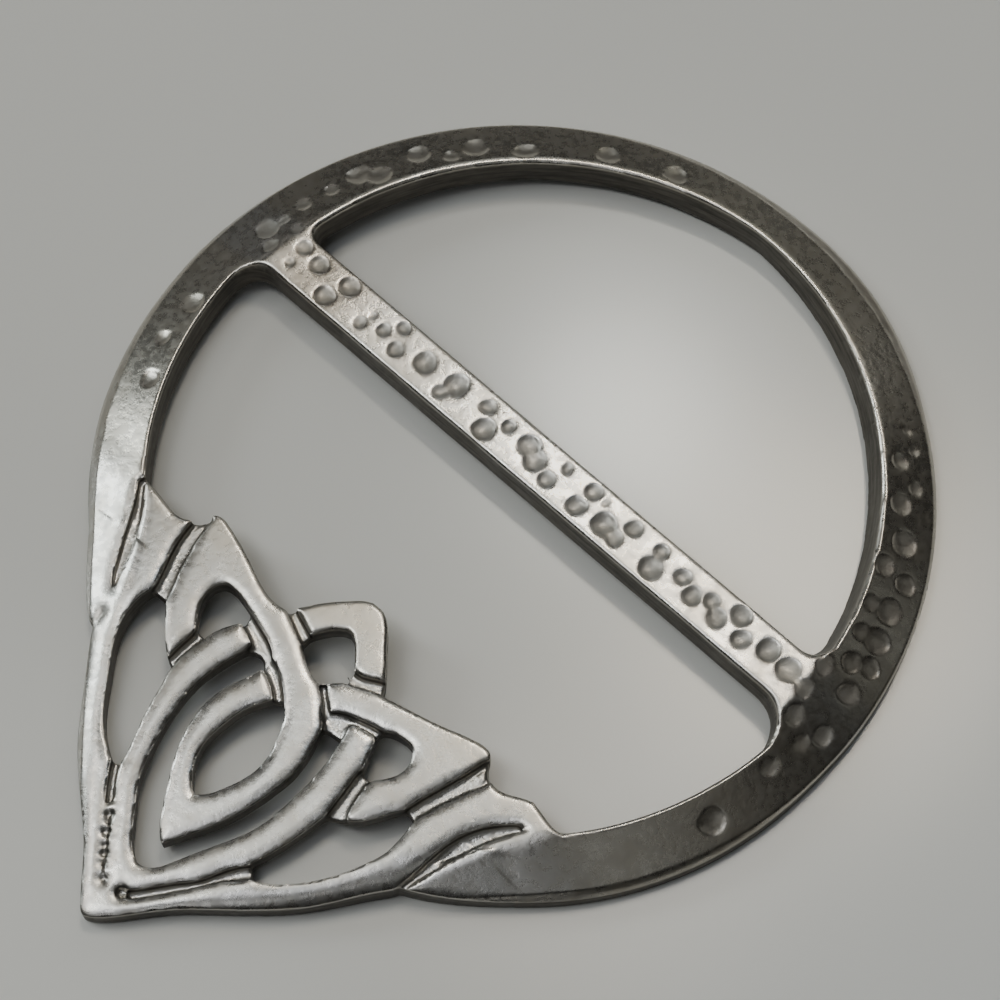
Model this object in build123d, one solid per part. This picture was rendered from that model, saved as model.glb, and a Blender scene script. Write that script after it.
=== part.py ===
from build123d import *
import math
import os

os.makedirs("parts", exist_ok=True)

# A scarf slide buckle cast in one piece of pewter.
# It lies face up: X runs along the crossbar, -Y points to the tip, Z is up.
# All sizes are in millimetres.

# Driving sizes
RING_R = 32.5          # outer radius of the ring
POINT_REACH = 45.6     # from the ring's centre to the tip of the point
RING_BAND = 4.45       # width of the ring beside the lower opening
BAR_WIDTH = 4.35       # width of the crossbar
RIM_HEIGHT = 1.9       # height of the rounded rim above the table
CROWN_HEIGHT = 4.25    # height of the crossbar's top above the table
HOLLOW_HEIGHT = 1.8    # height of the hollow under the piece
WEB_DROP = 0.95        # how far the webs between the bands lie under the tops
DENT_DEPTH = 0.27      # depth of a hammer dent of the usual size
TOP_BAND = 3.75        # width of the ring at the top of the upper opening
BACK_FALL = 1.1        # how far the crown falls from the crossbar to the ring's back
RIM_FLAT = 1.3         # width of the flat rim that the piece rests on
RIM_BEVEL = 0.6        # width of the bevel along the outer rim
WALL_LEAN = 1.0        # how far the ring's inner wall leans in at its foot, on the right
BAR_LEAN = 0.25        # how far the crossbar's walls spread at their foot
CORNER_R = 1.7         # corner radius of the upper opening on the right
TIGHT_CORNER_R = 1.0   # corner radius of the upper opening on the left
LOW_CORNER_R = 2.2     # corner radius of the lower opening on the left
WIDE_CORNER_R = 3.0    # corner radius of the lower opening on the right

# Derived sizes
STEP_X = RING_R / 1.625        # unit of the plan across, 20 mm
STEP_Y = POINT_REACH / 2.28    # unit of the plan down, 20 mm
BAR_LOW = -0.2                 # lower edge of the crossbar
BAR_TOP = BAR_LOW + BAR_WIDTH
CROWN_Y = BAR_LOW + BAR_WIDTH / 2
HOLLOW_Y = -0.7 * STEP_Y       # the hollow is highest here
HOLLOW_FRONT = POINT_REACH - 0.6  # how far the hollow reaches towards the tip
HOLLOW_BACK = RING_R - 0.5     # and towards the back
REACH = 2.0 * RING_R
BLANK_R = RING_R * 1.028       # the blank reaches a little past the trimmed outline
BLANK_TIP = POINT_REACH * 1.062
SIN_HALF = BLANK_R / BLANK_TIP  # sine of half the angle between the blank's straight sides
EDGE_GAP = BLANK_R - RING_R    # what the trim takes off all round
PILLOW_INSET = 6.1             # how far in from the blank's edge the top stops rising
PILLOW_TOP = CROWN_HEIGHT + 0.05
PILLOW_SLOPE = (PILLOW_TOP - RIM_HEIGHT) / (PILLOW_INSET - EDGE_GAP)
LEAN_TOP = 0.85 * CROWN_HEIGHT  # the inner walls lean from this height down
LEAN_FOOT = HOLLOW_HEIGHT / 2  # and lean their full share at this one
HOLLOW_RUN = 6.0               # the hollow's slope is this wide
EDGE_UPRIGHT = 0.9             # the rim's edge stands upright up to this much under its top
EDGE_TURN = 0.28               # and turns into the bevel this much under its top
USUAL_DENT_R = 0.9             # radius of a hammer dent of the usual size
CLEAR = 1.0                    # cutters reach past the piece by this much

# The ring as bent by hand: angle from +X, share of the ring's radius
RING_ROUND = [
    (-45.6, 1.000),
    (-34, 1.003),
    (-21, 1.000),
    (-7, .990),
    (8, .988),
    (22, .990),
    (38, .996),
    (50, .999),
    (62, 1.011),
    (75, 1.023),
    (90, 1.015),
    (104, 1.007),
    (118, .999),
    (134, .991),
    (150, .988),
    (165, .993),
    (180, 1.002),
    (195, 1.006),
    (210, 1.013),
    (225.6, 1.006),
    (238, 1.002),
    (270, .990),
    (302, 1.005),
]


def fall_radius(distance, fall):
    """Radius of a circle that falls this much at this distance from its crown."""
    return (distance ** 2 + fall ** 2) / (2 * fall)


TOP_FRONT_R = fall_radius(POINT_REACH + CROWN_Y, CROWN_HEIGHT - RIM_HEIGHT)
TOP_BACK_R = fall_radius(RING_R - CROWN_Y, BACK_FALL)
HOLLOW_FRONT_R = fall_radius(HOLLOW_FRONT + HOLLOW_Y, HOLLOW_HEIGHT)
HOLLOW_BACK_R = fall_radius(HOLLOW_BACK - HOLLOW_Y, HOLLOW_HEIGHT)


def crown_z(y):
    """Height of the arched top over a place along Y."""
    d = y - CROWN_Y
    r = TOP_BACK_R if d > 0 else TOP_FRONT_R
    return CROWN_HEIGHT - r + math.sqrt(r * r - d * d)


def hollow_z(y):
    """Height of the arched hollow over a place along Y."""
    d = y - HOLLOW_Y
    r = HOLLOW_BACK_R if d > 0 else HOLLOW_FRONT_R
    return HOLLOW_HEIGHT - r + math.sqrt(r * r - d * d)


def inset_at(x, y):
    """How far a place in plan lies inside the edge of the blank."""
    cos_half = math.sqrt(1 - SIN_HALF ** 2)
    ring = BLANK_R - math.hypot(x, y)
    side = (y * SIN_HALF + BLANK_R) - abs(x) * cos_half
    return side if y < -BLANK_R * SIN_HALF else ring


def top_z(x, y):
    """Height of the top surface over a place in plan."""
    return min(crown_z(y), RIM_HEIGHT + PILLOW_SLOPE * (inset_at(x, y) - EDGE_GAP))


def round_point(angle, share):
    """A point on the outline of the hand-bent ring."""
    r = share * RING_R
    return (r * math.cos(math.radians(angle)), r * math.sin(math.radians(angle)))


def teardrop(inset, height):
    """Round frame with its two tangents to the tip, drawn this far inside the blank."""
    r = BLANK_R - inset
    tip = r / SIN_HALF
    tx = r * math.sqrt(1 - SIN_HALF ** 2)
    ty = -r * SIN_HALF
    with BuildLine(Plane.XY.offset(height)) as line:
        ThreePointArc((tx, ty), (0, r), (-tx, ty))
        Line((-tx, ty), (0, -tip))
        Line((0, -tip), (tx, ty))
    return line.wire()


def arch(front_y, back_y, height, low, level):
    """Bar along X with an arched top, its side view drawn in Y and Z."""
    crown = (CROWN_Y if level is crown_z else HOLLOW_Y)
    front = (front_y, level(front_y))
    back = (back_y, level(back_y))
    fore = (front_y + crown) / 2
    aft = (back_y + crown) / 2
    with BuildSketch(Plane.YZ) as side:
        with BuildLine():
            ThreePointArc(front, (fore, level(fore)), (crown, height))
            ThreePointArc((crown, height), (aft, level(aft)), back)
            Polyline(back, (back_y, low), (front_y, low), front)
        make_face()
    return extrude(side.sketch, amount=REACH, both=True)


def place(point):
    """A point of the plan, given in steps across and steps down."""
    across, down = point
    return (across * STEP_X, -down * STEP_Y)


def outline(*runs):
    """Closed shape in plan: each run is smooth, the corners are between runs."""
    with BuildSketch() as sketch:
        with BuildLine():
            for i, run in enumerate(runs):
                after = runs[(i + 1) % len(runs)][0]
                points = [place(p) for p in run] + [place(after)]
                if len(points) == 2:
                    Line(*points)
                else:
                    Spline(*points)
        make_face()
    return sketch.sketch


def through(sketch):
    """Cutter that goes right through the piece."""
    return extrude(sketch.moved(Location((0, 0, -CLEAR))), amount=CROWN_HEIGHT + 2 * CLEAR)


# Gaps that go right through the knot: across and down in steps, run by run
LEFT_GAP = outline(
    [(-.685, 1.248)],
    [(-.620, 1.248), (-.585, 1.285), (-.515, 1.355)],
    [(-.450, 1.405)],
    [(-.420, 1.415), (-.400, 1.480), (-.370, 1.590), (-.325, 1.710)],
    [(-.295, 1.790)],
    [(-.330, 1.805), (-.400, 1.770), (-.485, 1.700), (-.560, 1.605), (-.635, 1.505), (-.685, 1.405),
     (-.698, 1.320)],
)
LEFT_TRIANGLE_HOLE = outline(
    [(-.455, 1.245), (-.500, 1.180), (-.520, 1.105), (-.503, 1.062), (-.440, 1.050)],
    [(-.350, 1.070)],
    [(-.340, 1.115), (-.380, 1.170)],
    [(-.405, 1.245)],
)
ALMOND_GAP = outline(
    [(-.255, 1.180), (-.280, 1.265), (-.300, 1.380), (-.290, 1.520), (-.250, 1.670), (-.195, 1.795),
     (-.100, 1.915), (-.035, 1.985)],
    [(.015, 2.010), (.060, 1.990), (.110, 1.910), (.175, 1.780), (.245, 1.615), (.262, 1.475),
     (.265, 1.370), (.255, 1.260)],
    [(.240, 1.195)],
    [(.160, 1.200), (.185, 1.280), (.205, 1.385), (.200, 1.465), (.185, 1.550), (.145, 1.685),
     (.080, 1.815)],
    [(.028, 1.910), (-.035, 1.855), (-.085, 1.780), (-.140, 1.695), (-.195, 1.590), (-.222, 1.485),
     (-.225, 1.385), (-.205, 1.305)],
    [(-.175, 1.240)],
    [(-.165, 1.190), (-.210, 1.160)],
)
EYE = outline(
    [(-.045, 1.248), (-.075, 1.300), (-.100, 1.350), (-.115, 1.430), (-.118, 1.530), (-.095, 1.605),
     (-.065, 1.650)],
    [(-.015, 1.695), (.025, 1.655), (.055, 1.595), (.080, 1.530), (.090, 1.445), (.075, 1.380),
     (.050, 1.320), (.020, 1.265)],
    [(-.015, 1.235)],
)
ARCH_HOLE = outline(
    [(-.120, .985), (-.060, .900), (-.020, .878), (.022, .898)],
    [(.090, .968)],
    [(.100, 1.025), (.055, 1.070)],
    [(.035, 1.095), (-.010, 1.085), (-.055, 1.065)],
    [(-.120, 1.025)],
)
RIGHT_TRIANGLE_HOLE = outline(
    [(.330, 1.075), (.355, 1.055), (.410, 1.040), (.445, 1.040), (.475, 1.065), (.490, 1.115),
     (.465, 1.180)],
    [(.430, 1.220)],
    [(.385, 1.230), (.360, 1.160)],
    [(.340, 1.110)],
)
RIGHT_GAP = outline(
    [(.400, 1.430)],
    [(.470, 1.397), (.515, 1.355), (.565, 1.275)],
    [(.600, 1.220)],
    [(.645, 1.235), (.652, 1.310), (.650, 1.380), (.620, 1.465), (.545, 1.605), (.450, 1.715)],
    [(.375, 1.772)],
    [(.322, 1.740), (.350, 1.670), (.380, 1.550)],
)

# Webs and grooves between the bands, lower than the tops
LEFT_CHANNEL = outline(
    [(-.762, .900)],
    [(-.762, .960), (-.755, 1.030), (-.735, 1.100), (-.712, 1.160)],
    [(-.688, 1.225)],
    [(-.688, 1.262)],
    [(-.612, 1.262)],
    [(-.628, 1.215), (-.655, 1.155), (-.680, 1.080), (-.705, .995)],
    [(-.718, .900)],
)
LEFT_LEG_WEB = outline(
    [(-.458, 1.238)],
    [(-.446, 1.270), (-.450, 1.320)],
    [(-.452, 1.412)],
    [(-.418, 1.420), (-.420, 1.360), (-.411, 1.285)],
    [(-.403, 1.238)],
)
SHOULDER_WEB = outline(
    [(-.352, 1.066), (-.300, 1.082), (-.200, 1.115)],
    [(-.148, 1.165)],
    [(-.160, 1.200)],
    [(-.210, 1.168)],
    [(-.257, 1.185)],
    [(-.257, 1.150)],
    [(-.343, 1.118)],
)
ALMOND_WEB = outline(
    [(-.155, 1.140), (-.075, 1.185)],
    [(-.012, 1.232)],
    [(-.045, 1.252), (-.100, 1.212)],
    [(-.172, 1.188)],
)
ARCH_LEFT_WEB = outline(
    [(-.262, .966), (-.205, .992)],
    [(-.118, 1.028)],
    [(-.118, .984)],
    [(-.232, .945)],
)
ARCH_RIGHT_WEB = outline(
    [(.092, .970), (.150, .962), (.222, .930)],
    [(.252, .962)],
    [(.200, .982), (.155, 1.004)],
    [(.100, 1.028)],
)
MIDDLE_WEB = outline(
    [(.035, 1.098), (.080, 1.125), (.115, 1.155)],
    [(.150, 1.195)],
    [(.160, 1.160)],
    [(.130, 1.138), (.095, 1.113)],
    [(.055, 1.075)],
)
RIGHT_END_WEB = outline(
    [(.140, 1.145), (.180, 1.115), (.235, 1.095), (.295, 1.075)],
    [(.335, 1.068)],
    [(.342, 1.108), (.315, 1.100), (.275, 1.108), (.235, 1.120)],
    [(.226, 1.145)],
    [(.243, 1.200)],
    [(.158, 1.205)],
)
RIGHT_LEG_WEB = outline(
    [(.372, 1.222), (.385, 1.320)],
    [(.398, 1.432)],
    [(.468, 1.402)],
    [(.450, 1.380), (.435, 1.320), (.426, 1.260)],
    [(.432, 1.218)],
)
RIGHT_CHANNEL = outline(
    [(.706, .870)],
    [(.688, .905), (.675, .960), (.660, 1.010), (.636, 1.085)],
    [(.597, 1.222)],
    [(.645, 1.245)],
    [(.656, 1.185), (.685, 1.110), (.715, 1.030), (.740, .975)],
    [(.752, .900)],
)
LEFT_SLOT = outline(
    [(-.334, 1.798), (-.275, 1.880)],
    [(-.222, 1.940)],
    [(-.216, 1.910), (-.265, 1.851)],
    [(-.302, 1.793)],
)
TIP_SLOT = outline(
    [(.056, 2.109), (.116, 2.040), (.171, 1.970), (.218, 1.917), (.261, 1.837)],
    [(.298, 1.777)],
    [(.331, 1.740)],
    [(.366, 1.770)],
    [(.316, 1.825), (.283, 1.860), (.218, 1.954), (.178, 2.009), (.129, 2.074)],
    [(.080, 2.126)],
)
RIGHT_GROOVE = outline(
    [(.965, .985)],
    [(.935, .990), (.880, 1.045), (.832, 1.112), (.795, 1.225), (.782, 1.340)],
    [(.766, 1.440)],
    [(.784, 1.445)],
    [(.812, 1.350), (.850, 1.228), (.895, 1.112), (.945, 1.020)],
)
LEFT_GROOVE = outline(
    [(-1.025, .950), (-.990, .998), (-.935, 1.062), (-.888, 1.138), (-.848, 1.218), (-.822, 1.290)],
    [(-.800, 1.350), (-.838, 1.312), (-.880, 1.245), (-.934, 1.150), (-.978, 1.068)],
    [(-1.042, .975)],
)

# Upper silhouette of the knot, from the left crescent to the right one
KNOT_TOP = outline(
    [(-1.080, .955), (-.980, .960), (-.875, .975), (-.825, .980), (-.795, .970), (-.760, .945)],
    [(-.735, .915)],
    [(-.725, .885), (-.685, .870), (-.635, .880), (-.560, .900), (-.425, .950), (-.325, .978)],
    [(-.255, .970), (-.220, .920), (-.165, .845), (-.100, .775), (-.060, .742), (-.022, .730),
     (.020, .732), (.055, .750), (.130, .830), (.180, .885)],
    [(.222, .935)],
    [(.240, .970), (.310, .950), (.420, .920), (.520, .890), (.620, .860), (.660, .855),
     (.688, .865)],
    [(.705, .895)],
    [(.735, .925), (.785, .940), (.845, .920), (.915, .890), (.960, .895), (1.000, .905)],
    [(1.100, .890)],
    [(1.200, 1.600)],
    [(-1.200, 1.600)],
)

# Outer edge of the point, below the round of the ring
POINT = outline(
    [(-.770, 1.495), (-.697, 1.590), (-.595, 1.715), (-.515, 1.815), (-.410, 1.915), (-.295, 2.005),
     (-.180, 2.100), (-.075, 2.215)],
    [(-.020, 2.272)],
    [(.000, 2.280)],
    [(.025, 2.268), (.085, 2.215), (.160, 2.125), (.265, 2.010), (.405, 1.885), (.560, 1.730),
     (.650, 1.610)],
    [(.765, 1.455)],
    [(.730, 1.250)],
    [(-.745, 1.250)],
)

# The left crescent ends in a small ledge outside the round
LEFT_CRESCENT_END = outline(
    [(-1.240, 1.055), (-1.010, 1.300), (-.870, 1.435)],
    [(-.803, 1.487)],
    [(-.765, 1.485)],
    [(-.780, 1.350)],
    [(-1.100, 1.000)],
)

# Small pits beside the tip: across, down, radius in millimetres
PITS = [
    (-.187, 1.955, .26),
    (-.172, 1.975, .20),
    (-.150, 2.008, .25),
    (-.118, 2.045, .19),
    (-.098, 2.066, .24),
    (-.078, 2.092, .17),
    (-.036, 2.133, .21),
    (.047, 2.125, .36),
]

# Hammer dents on the crossbar: across, share of the bar's width, radius in millimetres
BAR_DENTS = [
    (-1.265, .74, .79),
    (-1.260, .34, .60),
    (-1.170, .67, .87),
    (-1.060, .28, .95),
    (-1.015, .72, .95),
    (-.880, .33, .63),
    (-.865, .58, .48),
    (-.785, .50, .71),
    (-.735, .78, .71),
    (-.695, .39, .79),
    (-.575, .53, 1.03),
    (-.445, .30, .71),
    (-.415, .60, 1.11),
    (-.330, .28, .28),
    (-.265, .67, .79),
    (-.215, .30, 1.03),
    (-.150, .64, .71),
    (-.040, .61, 1.00),
    (.020, .45, .95),
    (.100, .34, .79),
    (.130, .74, .63),
    (.255, .34, .95),
    (.270, .74, .80),
    (.335, .71, .48),
    (.385, .41, 1.11),
    (.455, .33, .80),
    (.480, .69, .80),
    (.615, .69, .72),
    (.630, .34, 1.03),
    (.740, .58, .79),
    (.815, .44, .87),
    (.885, .61, .75),
    (.940, .41, .87),
    (1.000, .74, .95),
    (1.060, .41, .87),
    (1.165, .58, 1.03),
    (1.270, .53, 1.11),
]

# Hammer dents on the ring: angle from +X, share of the ring's radius, radius in millimetres
RING_DENTS = [
    (175, .917, .95),
    (172, .898, .48),
    (172, .843, .71),
    (177, .862, .71),
    (192, .920, .87),
    (199, .935, .63),
    (206, .920, .71),
    (168, .911, .63),
    (163, .908, .63),
    (158, .923, .95),
    (155, .895, .95),
    (148, .929, .90),
    (143, .892, .63),
    (139, .920, .95),
    (131, .898, .95),
    (118, .925, .90),
    (107, .930, .85),
    (51, .945, .40),
    (48, .955, .48),
    (46, .917, .63),
    (42, .951, .56),
    (39, .917, .79),
    (33, .935, .95),
    (28.5, .893, .74),
    (27, .951, .79),
    (22, .886, .63),
    (22, .935, .90),
    (17, .889, .63),
    (17, .935, .90),
    (12, .902, .71),
    (13, .942, .71),
    (8, .935, .79),
    (4, .840, .95),
    (9, .850, .90),
    (0, .871, .71),
    (-2, .920, .63),
    (1, .945, .71),
    (-8, .914, .63),
    (-19, .950, .90),
]


def dent(x, y, radius):
    """Shallow round dent in the top surface at this place."""
    depth = DENT_DEPTH * radius / USUAL_DENT_R
    ball = (radius ** 2 + depth ** 2) / (2 * depth)
    return Sphere(ball).moved(Location((x, y, top_z(x, y) + ball - depth)))


def pit(x, y, radius):
    """Small steep pit in the top surface, its ball centred a little under it."""
    ball = Sphere(radius * 1.15)
    return ball.moved(Location((x, y, top_z(x, y) - radius * 0.3)))


def lean_at(height):
    """Share of the walls' lean at this height: none at their top, all at their foot."""
    return (LEAN_TOP - height) / (LEAN_TOP - LEAN_FOOT)


def upper_wire(height):
    """Outline of the opening above the crossbar at this height."""
    lean = WALL_LEAN * lean_at(height)
    low = BAR_TOP + BAR_LEAN * lean_at(height)
    left = (-1.300 * STEP_X + 0.2 * lean, low)
    right = (1.335 * STEP_X - lean, low)
    top = (0, RING_R - TOP_BAND - 0.05 * lean)
    with BuildSketch(Plane.XY.offset(height)) as opening:
        with BuildLine():
            ThreePointArc(left, (-.908 * STEP_X, 1.0225 * STEP_X), top)
            ThreePointArc(top, (.9365 * STEP_X - 0.55 * lean, 1.0415 * STEP_X - 0.55 * lean), right)
            Line(right, left)
        make_face()
        corners = opening.vertices().sort_by(Axis.Y)[:2].sort_by(Axis.X)
        fillet(corners[0], TIGHT_CORNER_R)
        corners = opening.vertices().sort_by(Axis.X)
        fillet(corners[-1], CORNER_R)
    return opening.sketch.faces()[0].outer_wire()


def lower_wire(height):
    """Outline of the opening below the crossbar at this height, before the knot is left in."""
    r = RING_R - RING_BAND - 0.3 * WALL_LEAN * lean_at(height)
    edge = BAR_LOW - BAR_LEAN * lean_at(height)
    x = math.sqrt(r ** 2 - edge ** 2)
    with BuildSketch(Plane.XY.offset(height)) as opening:
        with BuildLine():
            ThreePointArc((-x, edge), (0, -r), (x, edge))
            Line((x, edge), (-x, edge))
        make_face()
        corners = opening.vertices().sort_by(Axis.X)
        fillet(corners[0], LOW_CORNER_R)
        corners = opening.vertices().sort_by(Axis.X)
        fillet(corners[-1], WIDE_CORNER_R)
    return opening.sketch.faces()[0].outer_wire()


# The blank: an arched plate that slopes down to its beveled rim, hollow below
sections = [
    teardrop(0, -CLEAR / 2),
    teardrop(0, RIM_HEIGHT - EDGE_UPRIGHT),
    teardrop(EDGE_GAP, RIM_HEIGHT - EDGE_TURN),
    teardrop(EDGE_GAP + RIM_BEVEL, RIM_HEIGHT + RIM_BEVEL * PILLOW_SLOPE),
    teardrop(PILLOW_INSET, PILLOW_TOP),
]
body = Solid.make_loft(sections, ruled=True)
body = body & arch(-POINT_REACH - CLEAR, RING_R + 2 * CLEAR, CROWN_HEIGHT, 0, crown_z)
hollow_foot = teardrop(EDGE_GAP + RIM_FLAT, -CLEAR / 3)
hollow_head = teardrop(EDGE_GAP + RIM_FLAT + HOLLOW_RUN, HOLLOW_HEIGHT + CLEAR / 2)
hollow = Solid.make_loft([hollow_foot, hollow_head], ruled=True)
hollow = hollow & arch(-HOLLOW_FRONT, HOLLOW_BACK, HOLLOW_HEIGHT, -CLEAR, hollow_z)

with BuildSketch() as disc:
    with BuildLine():
        Spline(*[round_point(a, share) for a, share in RING_ROUND], periodic=True)
    make_face()
plan = disc.sketch + POINT + LEFT_CRESCENT_END

# The two large openings above and below the crossbar
ABOVE = CROWN_HEIGHT + CLEAR
upper_opening = Solid.make_loft([upper_wire(-CLEAR), upper_wire(ABOVE)], ruled=True)
lower_opening = Solid.make_loft([lower_wire(-CLEAR), lower_wire(ABOVE)], ruled=True)
lower_opening = lower_opening - through(KNOT_TOP)

gaps = [LEFT_GAP, LEFT_TRIANGLE_HOLE, ALMOND_GAP, EYE, ARCH_HOLE, RIGHT_TRIANGLE_HOLE, RIGHT_GAP]
webs = [LEFT_CHANNEL, LEFT_LEG_WEB, SHOULDER_WEB, ALMOND_WEB, ARCH_LEFT_WEB, ARCH_RIGHT_WEB]
webs += [MIDDLE_WEB, RIGHT_END_WEB, RIGHT_LEG_WEB, RIGHT_CHANNEL, LEFT_SLOT, TIP_SLOT]
webs += [RIGHT_GROOVE, LEFT_GROOVE]

piece = body & through(plan)
piece = piece - hollow
piece = piece - upper_opening - lower_opening
for gap in gaps:
    piece = piece - through(gap)

floor = arch(-POINT_REACH - CLEAR, RING_R + 2 * CLEAR, CROWN_HEIGHT, -2 * CLEAR, crown_z)
floor = floor.moved(Location((0, 0, -WEB_DROP)))
for web in webs:
    piece = piece - (through(web) - floor)

dents = [dent(a * STEP_X, BAR_LOW + b * BAR_WIDTH, r) for a, b, r in BAR_DENTS]
for angle, share, radius in RING_DENTS:
    turn = math.radians(angle)
    dents.append(dent(share * RING_R * math.cos(turn), share * RING_R * math.sin(turn), radius))
for across, down, radius in PITS:
    dents.append(pit(*place((across, down)), radius))
piece = piece - dents

# Set down with the middle of its footprint at the origin
box = piece.bounding_box()
middle = (box.min + box.max) / 2
piece = piece.moved(Location((-middle.X, -middle.Y, -box.min.Z)))
solids = piece.solids()
export_step(solids[0] if len(solids) == 1 else piece, "parts/frame.step")
print("solids", len(solids), "volume", round(piece.volume, 1), "box", piece.bounding_box().size)
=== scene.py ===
import math
import bpy
import numpy as np
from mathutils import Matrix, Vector, noise
from mathutils.bvhtree import BVHTree


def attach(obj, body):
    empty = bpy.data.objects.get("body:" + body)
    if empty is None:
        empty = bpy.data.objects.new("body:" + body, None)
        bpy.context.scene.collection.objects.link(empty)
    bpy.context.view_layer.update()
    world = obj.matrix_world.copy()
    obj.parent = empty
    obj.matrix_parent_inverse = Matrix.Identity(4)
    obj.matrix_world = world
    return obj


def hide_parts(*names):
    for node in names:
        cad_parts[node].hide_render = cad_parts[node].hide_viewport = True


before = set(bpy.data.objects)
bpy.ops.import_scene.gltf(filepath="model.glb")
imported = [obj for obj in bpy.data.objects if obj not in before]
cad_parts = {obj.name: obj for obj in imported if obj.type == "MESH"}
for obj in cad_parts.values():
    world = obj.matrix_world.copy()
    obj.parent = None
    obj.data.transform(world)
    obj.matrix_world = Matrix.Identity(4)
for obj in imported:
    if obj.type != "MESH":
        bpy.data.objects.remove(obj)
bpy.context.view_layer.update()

MM = 0.001

# The casting as the CAD part has it, in millimetres, with places in plan from the ring's centre
RING_CENTRE = (0.26, 6.29)     # the ring's centre from the middle of the footprint
BLANK_R = 33.41                # radius of the blank
BLANK_TIP = 48.43              # how far the blank's point reaches
BLANK_EDGE = 0.91              # how far the rim lies inside the blank's edge
CROWN_Y = 1.975                # the crown is highest along this line
CROWN_TOP = 4.25               # height of the crown above the table
RIM_TOP = 1.9                  # height of the rim above the table
SLOPE = 0.4624                 # rise of the ring's outer slope for each millimetre
FRONT_FALL_R = 482.7           # radius of the crown's arch towards the tip
BACK_FALL_R = 424.1            # and towards the back
WEB_DROP = 0.95                # how far the webs lie under the face
BAR_HALF = 2.6                 # half the width of the crossbar, with its flare
BAR_REACH = 26.0               # how far the crossbar reaches from the ring's centre
BAR_FADE = 1.0                 # what counts as bar fades out over this width beside it
BAR_END_FADE = 2.0             # and over this length at its ends
PIT_LINE = ((-3.6, -32.6), (-0.6, -36.3))  # ends of the row of pits, from the footprint's middle
PIT_REACH = 0.9                # how far the pits spread beside that line

# A pair is a span, over which a share rises or falls smoothly between nothing and all
WALL_STEEPNESS = 0.35          # a face whose normal rises less than this belongs to a wall
UPWARD_SPAN = (0.3, 0.8)       # rise of the normal, from a wall to a face
KNOT_SPAN = (11.0, 15.0)       # from the ring to the knot, down from the footprint's middle
LINE_CORE = 0.6                # share of a line's reach that counts in full

# The skin, in millimetres
MERGE_REACH = 0.001
SKIN_VOXEL = 0.12
TRIANGLES = 192000

# Smoothing: turns, share of its own place that a point keeps, share of its neighbours' mean
SKIN_RELAX = (9, 0.45, 0.55)
DENT_RELAX = (7, 0.4, 0.6)
LAST_RELAX = (2, 0.5, 0.5)

# The ring's slope and the fold between crown and slope
RING_TRIM = 0.2                # the ring's slope is filed this much lower
RING_FOLD = 0.06               # the fold is rounded over this height on the ring
KNOT_FOLD = 0.5                # and over this height in the knot

# Truing: a point this near the right height is put on it
FACE_SPAN = (0.04, 0.09)
WEB_SPAN = (0.06, 0.12)
WEB_CLEAR = (0.2, 0.4)         # a web is trued from this far off a wall
TOP_SPAN = (0.5, 0.8)          # depth under the face, from the bands to the webs

# Dents and pits
DENT_CLEAR = (0.15, 0.45)      # a dent is filled from this far off a wall
DENT_SPAN = (0.03, 0.12)       # and shows from this depth
DENT_FILL = 0.15               # share of a dent's depth that is filled on the bar
RING_DENT_FILL = 0.5           # and on the ring
DENT_DEEPEST = 0.4             # depth that is reckoned with at most
HAMMER_CLEAR = (0.3, 0.6)      # rims of dents are softened from this far off a wall
DRIFT_CLEAR = (0.6, 1.0)       # and moved from this far off
DENT_DRIFT = 0.16              # by this much at most
DRIFT_SIZE = 1.3
DRIFT_SEEDS = (21.7, 33.1)     # one for each way in plan
PIT_FILL = 0.3                 # share of a pit's depth that is filled
PIT_DEEPEST = 1.2              # depth that is reckoned with at most
PIT_FACING = (0.0, 0.3)        # rise of the normal, from a pit's wall to its bottom

# Worn and rounded edges
EDGE_ROUND = 0.45              # width that is rounded on the ring and the bar
EDGE_LOWER = 0.07              # and how far the edge drops there
BAND_ROUND = 1.0               # the same on the bands of the knot
BAND_LOWER = 0.15
CREST_SPAN = (29.6, 30.4)      # the crest ends at this distance from the ring's centre
CREST_WIDTH = 0.3              # width that is worn
CREST_LOWER = 0.08             # and how far the edge drops there

# Unevenness: size, depth, seed
UNEVEN = ((5.5, 0.035, 3.1), (1.6, 0.010, 5.3), (0.7, 0.005, 9.2))
RING_EVEN = 0.2                # share of these that is left on the ring
DENT_UNEVEN = (1.1, 0.09, 12.4)
DENT_EVEN = 0.2                # up to this value the noise leaves a dent's bottom even
WAVER = (4.5, 0.1, 7.7)        # the walls' unevenness

# Spans of the finish: depth, rise of the normal and distance from a wall
BAR_FINISH = (BAR_HALF - 0.6, BAR_HALF + 0.4)
WEB_DEPTH = (0.55, 0.8)
WEB_FACING = (0.6, 0.9)
FILM_AND_SHADE_CLEAR = (0.15, 0.4)
FILM_AND_SHADE_DEPTH = (0.04, 0.12)
FILM_AND_SHADE_ON_RING = 0.3             # share of the bar's tarnish film and painted shade that the ring's dents have
WORN_AND_LIT_SPAN = (0.08, 0.36)
OUTLINE_SPAN = (0.04, 0.2)
CORNER_SHADE_SPAN = (0.05, 0.4)
WALL_FACING = (0.25, 0.75)
WALL_DEPTH = (0.1, 0.5)
SHADED_STAIN_END = (-22.0, 8.5)        # the end of the bar that is stained and darkened with painted shade, from the footprint's middle
SHADED_STAIN_SPAN = (1.0, 7.5)


def pick_only(obj):
    bpy.ops.object.select_all(action="DESELECT")
    obj.select_set(True)
    bpy.context.view_layer.objects.active = obj


def apply_modifier(obj, kind, name, **settings):
    pick_only(obj)
    mod = obj.modifiers.new(name, kind)
    for key, value in settings.items():
        setattr(mod, key, value)
    bpy.ops.object.modifier_apply(modifier=name)


def points_of(obj):
    flat = np.empty(len(obj.data.vertices) * 3)
    obj.data.vertices.foreach_get("co", flat)
    return flat.reshape(-1, 3)


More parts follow.
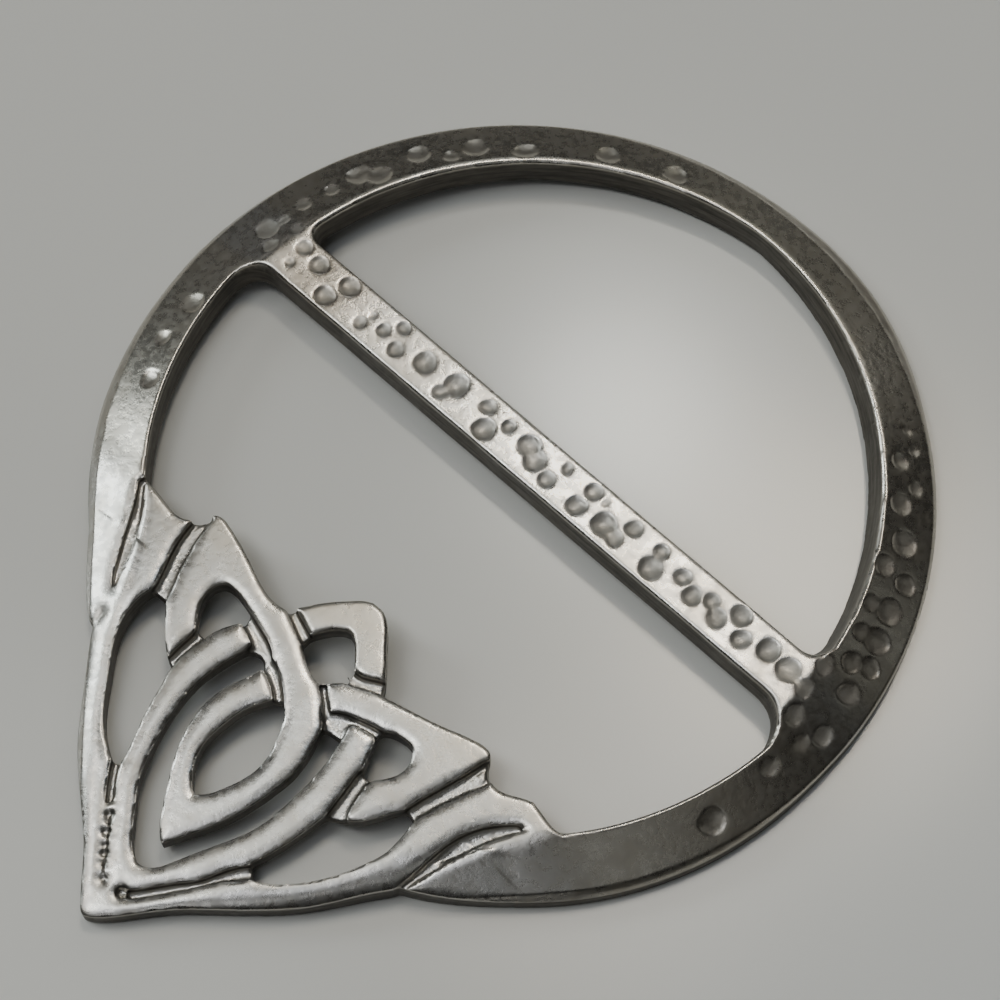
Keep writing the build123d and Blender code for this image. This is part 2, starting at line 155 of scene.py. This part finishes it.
def normals_of(obj):
    flat = np.empty(len(obj.data.vertices) * 3)
    obj.data.vertex_normals.foreach_get("vector", flat)
    return flat.reshape(-1, 3)


def move_points(obj, places):
    obj.data.vertices.foreach_set("co", places.reshape(-1))
    obj.data.update()


def edges_of(obj):
    flat = np.empty(len(obj.data.edges) * 2, dtype=np.int32)
    obj.data.edges.foreach_get("vertices", flat)
    return flat.reshape(-1, 2)


def neighbours_mean(places, edges):
    total = np.zeros_like(places)
    count = np.zeros(len(places))
    for a, b in ((0, 1), (1, 0)):
        for axis in range(places.shape[1]):
            total[:, axis] += np.bincount(edges[:, a], places[edges[:, b], axis], len(places))
        count += np.bincount(edges[:, a], minlength=len(places))
    return total / np.maximum(count, 1)[:, None]


def relax(places, edges, turns, own, taken):
    """Places smoothed towards the mean of their neighbours."""
    for _ in range(turns):
        places = own * places + taken * neighbours_mean(places, edges)
    return places


def rise(span, value):
    """Zero below the span, one above it and a smooth step between."""
    low, high = span
    t = np.clip((value - low) / (high - low), 0, 1)
    return t * t * (3 - 2 * t)


def fall(span, value):
    """One below the span, zero above it and a smooth step between."""
    return 1 - rise(span, value)


def between(first, second, share):
    return first + (second - first) * share


def soft_min(a, b, reach):
    """The lower of two heights, blended where they come closer than reach."""
    share = np.clip(0.5 + 0.5 * (b - a) / reach, 0, 1)
    return b + (a - b) * share - reach * share * (1 - share)


def cast_faces(places):
    """Heights of the blank's crown and of its outer slope over each place."""
    x = places[:, 0] - RING_CENTRE[0]
    y = places[:, 1] - RING_CENTRE[1]
    away = y - CROWN_Y
    radius = np.where(away > 0, BACK_FALL_R, FRONT_FALL_R)
    crown = CROWN_TOP - radius + np.sqrt(radius ** 2 - away ** 2)
    sin_half = BLANK_R / BLANK_TIP
    cos_half = math.sqrt(1 - sin_half ** 2)
    ring = BLANK_R - np.hypot(x, y)
    side = y * sin_half + BLANK_R - np.abs(x) * cos_half
    inset = np.where(y < -BLANK_R * sin_half, side, ring)
    return crown, RIM_TOP + SLOPE * (inset - BLANK_EDGE)


def knot_share(places):
    return rise(KNOT_SPAN, -places[:, 1])


def bar_share(places, span):
    """One along the crossbar, zero beside it."""
    return fall(span, np.abs(places[:, 1] - RING_CENTRE[1] - CROWN_Y))


def line_share(places, line, reach):
    """One on a straight line between two places, zero beyond its reach."""
    start, end = np.array(line)
    along = end - start
    length = np.hypot(*along)
    along = along / length
    rest = places[:, :2] - start
    near = np.clip(rest @ along, 0, length)
    off_line = np.hypot(*(rest - near[:, None] * along).T)
    return fall((LINE_CORE * reach, reach), off_line)


def top_height(places):
    """Height of the finished face over each place, before any dent."""
    crown, slope = cast_faces(places)
    in_knot = knot_share(places)
    return soft_min(crown, slope - RING_TRIM * (1 - in_knot), between(RING_FOLD, KNOT_FOLD, in_knot))


def uneven(places, size, seed):
    """Slow unevenness over the casting, from 0 to 1."""
    shift = Vector((seed, 2.0 * seed, 3.0 * seed))
    return np.array([0.5 + 0.5 * noise.noise(Vector(p) / size + shift) for p in places])


def walls_of(obj):
    """Search tree of the steep faces, in millimetres."""
    corners = [v.co / MM for v in obj.data.vertices]
    steep = [p.vertices[:] for p in obj.data.polygons if abs(p.normal.z) < WALL_STEEPNESS]
    return BVHTree.FromPolygons(corners, steep)


def wall_distance(places, upward, walls):
    """Distance in millimetres from each upward place to the nearest wall."""
    away = np.zeros(len(places))
    for index in np.flatnonzero(upward > 0):
        away[index] = walls.find_nearest(Vector(places[index]))[3]
    return away


def look_over(obj, walls):
    """Places, normals, share that faces up, depth under the face, distance from a wall."""
    places = points_of(obj) / MM
    normals = normals_of(obj)
    upward = rise(UPWARD_SPAN, normals[:, 2])
    drop = top_height(places) - places[:, 2]
    return places, normals, upward, drop, wall_distance(places, upward, walls)


def write_mask(obj, name, values):
    mask = obj.data.attributes.new(name, "FLOAT", "POINT")
    mask.data.foreach_set("value", values.astype(np.float32))


# The casting: one piece of pewter with soft cast edges
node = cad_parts["frame"]
casting = bpy.data.objects.new("pewter_casting", node.data.copy())
bpy.context.scene.collection.objects.link(casting)
pick_only(casting)
bpy.ops.object.mode_set(mode="EDIT")
bpy.ops.mesh.select_all(action="SELECT")
bpy.ops.mesh.remove_doubles(threshold=MERGE_REACH * MM)
bpy.ops.object.mode_set(mode="OBJECT")
casting.data.materials.clear()
walls = walls_of(casting)
apply_modifier(casting, "REMESH", "skin", mode="VOXEL", voxel_size=SKIN_VOXEL * MM)
edges = edges_of(casting)
move_points(casting, relax(points_of(casting) / MM, edges, *SKIN_RELAX) * MM)

# The ring's slope is filed a little lower, and the fold between crown and slope is rounded in the knot
places = points_of(casting) / MM
places[:, 2] *= top_height(places) / np.minimum(*cast_faces(places))
move_points(casting, places * MM)

# The face and the webs are trued
places, normals, upward, drop, away = look_over(casting, walls)
in_knot = knot_share(places)
true_face = upward * fall(FACE_SPAN, np.abs(drop))
true_web = upward * fall(WEB_SPAN, np.abs(drop - WEB_DROP)) * rise(WEB_CLEAR, away)
places[:, 2] += drop * true_face + (drop - WEB_DROP) * true_web

# Dents and pits are made shallower, and the rims of dents softer and less regular
drop = top_height(places) - places[:, 2]
on_top = upward * fall(TOP_SPAN, drop)
inside = rise(DENT_CLEAR, away) * upward * (1 - in_knot)
dented = inside * rise(DENT_SPAN, drop)
from_centre = np.hypot(places[:, 0] - RING_CENTRE[0], places[:, 1] - RING_CENTRE[1])
on_bar = bar_share(places, (BAR_HALF, BAR_HALF + BAR_FADE))
on_bar *= fall((BAR_REACH - BAR_END_FADE, BAR_REACH), from_centre)
pits = line_share(places, PIT_LINE, PIT_REACH)
places[:, 2] += PIT_FILL * np.clip(drop, 0, PIT_DEEPEST) * pits * rise(PIT_FACING, normals[:, 2])
places[:, 2] += between(RING_DENT_FILL, DENT_FILL, on_bar) * np.clip(drop, 0, DENT_DEEPEST) * inside
hammered = (1 - in_knot) * upward * rise(HAMMER_CLEAR, away)
softer = relax(places, edges, *DENT_RELAX)
places[:, 2] += (softer[:, 2] - places[:, 2]) * hammered
drift = DENT_DRIFT * hammered * rise(DRIFT_CLEAR, away)
before = top_height(places)
for axis, seed in enumerate(DRIFT_SEEDS):
    places[:, axis] += drift * (2 * uneven(places, DRIFT_SIZE, seed) - 1)
places[:, 2] += top_height(places) - before

# The ring's inner edge is worn to a flat crest, and edges and bands are rounded
crest = fall(CREST_SPAN, from_centre) * (1 - on_bar) * (1 - in_knot) * on_top
lower = CREST_LOWER * np.clip(1 - away / CREST_WIDTH, 0, 1) * crest
round_width = between(EDGE_ROUND, BAND_ROUND, in_knot)
round_depth = between(EDGE_LOWER, BAND_LOWER, in_knot)
lower += round_depth * np.clip(1 - away / round_width, 0, 1) ** 2 * on_top

# No face of a casting is quite even, and a dent's bottom least of all
sink = np.zeros(len(places))
for size, depth, seed in UNEVEN:
    sink += depth * uneven(places, size, seed)
sink *= between(1, RING_EVEN, (1 - in_knot) * (1 - on_bar))
size, depth, seed = DENT_UNEVEN
sink += depth * (uneven(places, size, seed) - DENT_EVEN).clip(0, 1) * dented
places[:, 2] -= lower + sink * upward
size, depth, seed = WAVER
outwards = normals * (1, 1, 0)
places -= outwards * (depth * uneven(places, size, seed) * (1 - upward))[:, None]
move_points(casting, relax(places, edges, *LAST_RELAX) * MM)
faces_now = sum(len(p.vertices) - 2 for p in casting.data.polygons)
apply_modifier(casting, "DECIMATE", "thin", ratio=min(1.0, TRIANGLES / faces_now))

# Where the finish differs: worn edges with a painted highlight, walls with painted shade, webs, corners
# with painted shade, dents with tarnish and painted shade, the stained end of the bar with painted shade
places, normals, upward, drop, away = look_over(casting, walls)
in_knot = knot_share(places)
on_bar = bar_share(places, BAR_FINISH)
web = rise(WEB_DEPTH, drop) * rise(WEB_FACING, normals[:, 2])
dented = rise(FILM_AND_SHADE_CLEAR, away) * upward * (1 - in_knot) * rise(FILM_AND_SHADE_DEPTH, drop)
worn_and_lit = upward * fall(WORN_AND_LIT_SPAN, away) * (1 - web)
worn_and_lit = neighbours_mean(worn_and_lit[:, None], edges_of(casting))[:, 0]
from_shaded_stain_end = np.hypot(places[:, 0] - SHADED_STAIN_END[0], places[:, 1] - SHADED_STAIN_END[1])
masks = {
    "worn_edge_highlight": worn_and_lit * (1 - in_knot),
    "outline": upward * fall(OUTLINE_SPAN, away) * in_knot * (1 - web),
    "corner_shade": web * fall(CORNER_SHADE_SPAN, away),
    "wall": fall(WALL_FACING, normals[:, 2]) * rise(WALL_DEPTH, drop),
    "web": web,
    "ring": (1 - in_knot) * (1 - on_bar),
    "dent_film_and_shade": dented * between(FILM_AND_SHADE_ON_RING, 1, on_bar),
    "shaded_stain": fall(SHADED_STAIN_SPAN, from_shaded_stain_end),
}
for name, values in masks.items():
    write_mask(casting, name, values)
bpy.ops.object.shade_smooth()


class Bench:
    """Nodes of one tree, joined as they are made."""

    def __init__(self, tree):
        self.tree = tree

    def node(self, kind, settings=None, **inputs):
        made = self.tree.nodes.new(kind)
        for key, value in (settings or {}).items():
            setattr(made, key, value)
        for key, value in inputs.items():
            self.feed(made, key.replace("_", " "), value)
        return made

    def feed(self, made, key, value):
        socket = made.inputs[key]
        if isinstance(value, bpy.types.NodeSocket):
            self.tree.links.new(value, socket)
        else:
            socket.default_value = value

    def math(self, operation, a, b=0.0, clamp=False):
        made = self.node("ShaderNodeMath", {"operation": operation, "use_clamp": clamp})
        self.feed(made, 0, a)
        self.feed(made, 1, b)
        return made.outputs[0]

    def times(self, a, b, clamp=False):
        return self.math("MULTIPLY", a, b, clamp)

    def raised(self, value, mask, amount):
        """The value, higher by the amount where the mask is one."""
        return self.math("ADD", value, self.times(mask, amount))

    def lowered(self, value, mask, amount):
        """The value, lower by the amount where the mask is one."""
        return self.math("SUBTRACT", value, self.times(mask, amount))

    def noise(self, where, scale, detail, rough):
        return self.node(
            "ShaderNodeTexNoise", Vector=where, Scale=scale, Detail=detail, Roughness=rough
        ).outputs["Fac"]

    def spread(self, value, span, ends=(0.0, 1.0)):
        """The value carried from its span to these ends."""
        made = self.node("ShaderNodeMapRange", Value=value, From_Min=span[0], From_Max=span[1])
        self.feed(made, "To Min", ends[0])
        self.feed(made, "To Max", ends[1])
        return made.outputs["Result"]

    def tint(self, amount, under, over):
        """One colour over another by this amount."""
        made = self.node("ShaderNodeMix", {"data_type": "RGBA"})
        for key, value in ((0, amount), (6, under), (7, over)):
            self.feed(made, key, value)
        return made.outputs[2]

    def seam(self, where, line, ragged, beads):
        """Thin ragged line between two places in millimetres, from 0 to 1."""
        start, end = line
        along = Vector(end) - Vector(start)
        length = along.length * MM
        along = along.normalized()
        away = self.node("ShaderNodeVectorMath", {"operation": "SUBTRACT"})
        self.feed(away, 0, where)
        self.feed(away, 1, (start[0] * MM, start[1] * MM, 0))
        reach = []
        for way in ((along.x, along.y, 0), (-along.y, along.x, 0)):
            made = self.node("ShaderNodeVectorMath", {"operation": "DOT_PRODUCT"})
            self.feed(made, 0, away.outputs[0])
            self.feed(made, 1, way)
            reach.append(made.outputs["Value"])
        swing = self.spread(ragged, SEAM_RAGGED, (-SEAM_SWING * MM, SEAM_SWING * MM))
        across = self.math("ABSOLUTE", self.math("ADD", reach[1], swing))
        past = self.lowered(across, beads, SEAM_BEAD * MM)
        drawn = self.spread(past, (-SEAM_EDGE * MM, SEAM_EDGE * MM), (1.0, 0.0))
        drawn = self.times(drawn, self.spread(reach[0], (0.0, SEAM_END * MM)))
        return self.times(drawn, self.spread(reach[0], (length - SEAM_END * MM, length), (1.0, 0.0)))

    def mask(self, name):
        return self.node("ShaderNodeAttribute", {"attribute_name": name}).outputs["Fac"]

    def close(self, skin):
        """Join the skin's shader to the material's output."""
        out = self.node("ShaderNodeOutputMaterial")
        self.tree.links.new(skin.outputs[0], out.inputs["Surface"])


def new_material(name):
    mat = bpy.data.materials.new(name)
    mat.use_nodes = True
    mat.node_tree.nodes.clear()
    return mat, Bench(mat.node_tree)


# Finish: satin pewter. Noises give turns per metre, detail and roughness
CLOUD = (160.0, 4.0, 0.6)
MOTTLE = (850.0, 3.0, 0.6)
SAND = (1700.0, 3.0, 0.55)
GRAIN = (3800.0, 2.0, 0.6)
STREAKS = (1.0, 2.0, 0.5)
STREAK_STRETCH = (300.0, 300.0, 3400.0)  # finest in height, so that streaks run along a wall

DULL_PEWTER = (0.50, 0.475, 0.43, 1)
CLEAN_PEWTER = (0.70, 0.69, 0.665, 1)
SANDY_PEWTER = (0.36, 0.35, 0.335, 1)
RING_PEWTER = (0.60, 0.55, 0.46, 1)
STAIN_AND_SHADE_TONE = (0.40, 0.33, 0.25, 1)
DENT_TARNISH_AND_SHADE = (0.24, 0.23, 0.205, 1)
RUBBED_EDGE_AND_HIGHLIGHT = (0.80, 0.79, 0.76, 1)
DARK_WALL_SHADE = (0.03, 0.026, 0.02, 1)
PALE_WALL_SHADE = (0.1, 0.09, 0.075, 1)

# Shares of one noise in another, and of each tone over the metal
CLOUD_SHARE = 0.55
MOTTLE_SHARE = 0.45
SAND_SHARE = 0.3
RING_SHARE = 0.5
SHADED_STAIN_SHARE = 0.55
EDGE_HIGHLIGHT_SHARE = 0.35
FILM_AND_SHADE_SHARE = 0.65
WEB_BARE = 0.75                # share of the painted shade in corners that the webs lose
OUTLINE_DARKENING = 0.6
WALL_SHADE_SHARE = 0.95
SEAM_GRIME = 0.9

# Spans of the noises, and what they are carried to
CLEAN_SPAN = (0.38, 0.62)
SAND_SPAN = (0.42, 0.62)
BLOTCH_SPAN = (0.3, 0.7)
BLOTCH_ENDS = (0.6, 1.2)
STREAK_SPAN = (0.35, 0.65)
ROUGH_SPAN = (0.35, 0.65)
ROUGH_ENDS = (0.31, 0.23)
ROUGH_SAND_SPAN = (0.4, 0.65)
ROUGH_SAND_ENDS = (-0.02, 0.06)

# What tarnish adds to the roughness and takes from the metal's shine
FILM_ROUGH = 0.24
SHADE_AND_GRIME_ROUGH = 0.1
WALL_ROUGH = 0.12
FILM_DULL = 0.4
WALL_DULL = 0.35

# The cast skin's small relief
GRAIN_RELIEF = 0.35
MOTTLE_RELIEF = 0.8
WEB_RELIEF = 2.0
SEAM_RELIEF = 2.5
BUMP_STRENGTH = 0.25
BUMP_DISTANCE = 0.00005

# The thin dark line through the pits, in millimetres
SEAM_RAGGED = (0.3, 0.7)       # span of the noise that swings it
SEAM_SWING = 0.09              # how far it swings to each side
SEAM_BEAD = 0.24               # half its width for a noise of one
SEAM_EDGE = 0.04               # half the width over which its sides fade
SEAM_END = 0.3                 # it fades over this length at both ends


def satin_pewter(masks):
    pewter, bench = new_material("satin_pewter")
    here = bench.node("ShaderNodeTexCoord").outputs["Object"]
    worn_edge_highlight, outline, corner_shade, wall, web, ring, dent_film_and_shade, shaded_stain = (bench.mask(name) for name in masks)
    cloud, mottle, sand, grain = (bench.noise(here, *kind) for kind in (CLOUD, MOTTLE, SAND, GRAIN))
    patches = bench.raised(bench.times(cloud, CLOUD_SHARE), mottle, MOTTLE_SHARE)
    blotch = bench.spread(mottle, BLOTCH_SPAN, BLOTCH_ENDS)
    crack = bench.seam(here, PIT_LINE, mottle, sand)

    # Bare metal, in patches
    metal = bench.tint(bench.spread(patches, CLEAN_SPAN), DULL_PEWTER, CLEAN_PEWTER)
    metal = bench.tint(bench.spread(sand, SAND_SPAN, (0.0, SAND_SHARE)), metal, SANDY_PEWTER)
    metal = bench.tint(bench.times(ring, RING_SHARE), metal, RING_PEWTER)
    # The far end of the bar is warmer and darker: a stain, with painted shade where the lamp's highlight
    # fades
    metal = bench.tint(bench.times(shaded_stain, SHADED_STAIN_SHARE), metal, STAIN_AND_SHADE_TONE)

    # Tarnish and painted shade: a film with painted shade in the dents, painted shade in corners and on
    # walls, darkening along the knot's band edges, grime along the seam
    # The dents get a tarnish film, darkened further with painted shade
    film_and_shade = bench.times(bench.times(dent_film_and_shade, FILM_AND_SHADE_SHARE), blotch, clamp=True)
    # Painted shade on the webs where they meet the walls
    shaded_corners = bench.times(corner_shade, bench.lowered(1.0, web, WEB_BARE))
    # Darker along the edges of the bands in the knot
    shade_and_grime = bench.math("MAXIMUM", shaded_corners, bench.times(outline, OUTLINE_DARKENING))
    shade_and_grime = bench.times(shade_and_grime, blotch, clamp=True)
    shade_and_grime = bench.math("MAXIMUM", shade_and_grime, bench.times(wall, WALL_SHADE_SHARE))
    shade_and_grime = bench.math("MAXIMUM", shade_and_grime, bench.times(crack, SEAM_GRIME))
    stretched = bench.node("ShaderNodeMapping", Vector=here, Scale=STREAK_STRETCH)
    streaks = bench.spread(bench.noise(stretched.outputs[0], *STREAKS), STREAK_SPAN)
    # The walls are painted with shade, streaked paler with casting marks
    streaked_wall_shade = bench.tint(bench.times(wall, streaks), DARK_WALL_SHADE, PALE_WALL_SHADE)
    colour = bench.tint(shade_and_grime, bench.tint(film_and_shade, metal, DENT_TARNISH_AND_SHADE), streaked_wall_shade)
    # The edges of the ring and bar are paler: rubbed wear with a painted highlight along them
    colour = bench.tint(bench.times(worn_edge_highlight, EDGE_HIGHLIGHT_SHARE), colour, RUBBED_EDGE_AND_HIGHLIGHT)

    rough = bench.spread(patches, ROUGH_SPAN, ROUGH_ENDS)
    rough = bench.math("ADD", rough, bench.spread(sand, ROUGH_SAND_SPAN, ROUGH_SAND_ENDS))
    for mask, amount in ((film_and_shade, FILM_ROUGH), (shade_and_grime, SHADE_AND_GRIME_ROUGH), (wall, WALL_ROUGH)):
        rough = bench.raised(rough, mask, amount)
    shine = bench.lowered(bench.lowered(1.0, film_and_shade, FILM_DULL), wall, WALL_DULL)
    relief = bench.raised(bench.raised(sand, grain, GRAIN_RELIEF), mottle, MOTTLE_RELIEF)
    relief = bench.times(relief, bench.raised(1.0, web, WEB_RELIEF))
    relief = bench.lowered(relief, crack, SEAM_RELIEF)
    bump = bench.node("ShaderNodeBump", Strength=BUMP_STRENGTH, Distance=BUMP_DISTANCE, Height=relief)
    skin = bench.node("ShaderNodeBsdfPrincipled", Base_Color=colour, Roughness=rough, Metallic=shine)
    bench.feed(skin, "Normal", bump.outputs[0])
    bench.close(skin)
    return pewter


casting.data.materials.append(satin_pewter(masks))

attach(casting, "root")
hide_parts("frame")

# Pale floor
FLOOR_WIDTH = 3.0
FLOOR_TONE = (0.8, 0.8, 0.77, 1)
FLOOR_ROUGHNESS = 0.16

bpy.ops.mesh.primitive_plane_add(size=FLOOR_WIDTH, location=(0, 0, 0))
floor = bpy.context.active_object
floor.name = "floor"
stone, bench = new_material("pale_floor")
bench.close(bench.node("ShaderNodeBsdfPrincipled", Base_Color=FLOOR_TONE, Roughness=FLOOR_ROUGHNESS))
floor.data.materials.append(stone)

# Light: round softboxes, the brightest of them behind, above and to the left.
# A fit of 47 lamps to the photograph's light gave these rows, with their radiance and colour.
# Six values of radiance were then set, and all the colours made paler.
# Columns: direction from the piece, width in metres, radiance, colour
SOFTBOXES = [
    ((-0.28, -0.28, 0.92), 0.47, 5.13, (0.97, 1.0, 0.98)),
    ((-0.14, 0.35, 0.93), 0.24, 11.0, (1.0, 0.88, 0.69)),
    ((-0.84, -0.28, 0.46), 0.47, 5.96, (0.93, 1.0, 0.99)),
    ((-0.251, 0.349, 0.903), 0.13, 25.0, (1.0, 0.99, 0.91)),
    ((-0.56, -0.28, 0.78), 0.47, 2.53, (1.0, 0.98, 0.93)),
    ((0.0, -0.28, 0.96), 0.47, 1.57, (0.9, 0.93, 1.0)),
    ((-0.28, 0.0, 0.96), 0.47, 1.2, (0.97, 1.0, 0.96)),
    ((-0.14, 0.21, 0.97), 0.24, 2.89, (1.0, 0.88, 0.74)),
    ((0.0, 0.28, 0.96), 0.47, 0.85, (0.63, 0.81, 1.0)),
    ((0.0, 0.56, 0.83), 0.47, 0.82, (1.0, 0.93, 0.89)),
    ((0.28, -0.56, 0.78), 0.47, 0.72, (0.96, 0.98, 1.0)),
    ((-0.56, 0.56, 0.61), 0.47, 0.79, (0.94, 0.99, 1.0)),
    ((0.0, 0.84, 0.54), 0.47, 0.55, (1.0, 1.0, 0.92)),
    ((0.56, -0.28, 0.78), 0.47, 0.23, (0.96, 1.0, 0.98)),
    ((-0.28, 0.84, 0.46), 0.47, 0.42, (0.99, 1.0, 0.9)),
    ((0.0, 0.0, 1.0), 0.47, 0.11, (0.93, 0.98, 1.0)),
    ((0.56, 0.0, 0.83), 0.47, 0.13, (1.0, 1.0, 0.93)),
    ((-0.84, 0.28, 0.46), 0.47, 0.21, (1.0, 0.99, 0.97)),
    ((0.56, 0.56, 0.61), 0.47, 0.15, (0.96, 1.0, 0.94)),
]
SOFTBOX_DISTANCE = 1.6

# The room is dim and paler near the horizon: span of the sight line's height, glow at its two ends
ROOM_TONE = (1.0, 0.98, 0.92, 1)
HORIZON_SPAN = (0.02, 0.1)
HORIZON_GLOW = (0.3, 0.015)

for number, (way, width, radiance, tone) in enumerate(SOFTBOXES):
    name = "softbox_%02d" % number
    light = bpy.data.lights.new(name, "AREA")
    light.shape = "ELLIPSE"
    light.size = width
    light.size_y = width
    light.energy = radiance * math.pi * width * width
    light.color = tone
    lamp = bpy.data.objects.new(name, light)
    bpy.context.scene.collection.objects.link(lamp)
    towards = Vector(way).normalized()
    lamp.location = towards * SOFTBOX_DISTANCE
    lamp.rotation_euler = (-towards).to_track_quat("-Z", "Y").to_euler()

world = bpy.data.worlds.new("room")
bpy.context.scene.world = world
world.use_nodes = True
bench = Bench(world.node_tree)
sight = bench.node("ShaderNodeTexCoord").outputs["Generated"]
sight_height = bench.node("ShaderNodeSeparateXYZ", Vector=sight).outputs["Z"]
back = world.node_tree.nodes["Background"]
bench.feed(back, "Color", ROOM_TONE)
bench.feed(back, "Strength", bench.spread(sight_height, HORIZON_SPAN, HORIZON_GLOW))

# Camera at the photograph's viewing angle: place and target in millimetres
CAMERA_PLACE = (53.177, -52.258, 184.481)
CAMERA_TARGET = (0.5186, 4.3509, 3.0)
SENSOR_WIDTH = 36.0
FOCAL_WIDTHS = 2.6             # focal length in sensor widths
CLIP_START = 0.01

eye = Vector(CAMERA_PLACE) * MM
target = Vector(CAMERA_TARGET) * MM
lens = bpy.data.cameras.new("camera")
lens.sensor_width = SENSOR_WIDTH
lens.lens = SENSOR_WIDTH * FOCAL_WIDTHS
lens.clip_start = CLIP_START
camera = bpy.data.objects.new("camera", lens)
bpy.context.scene.collection.objects.link(camera)
camera.location = eye
camera.rotation_euler = (target - eye).to_track_quat("-Z", "Y").to_euler()
bpy.context.scene.camera = camera
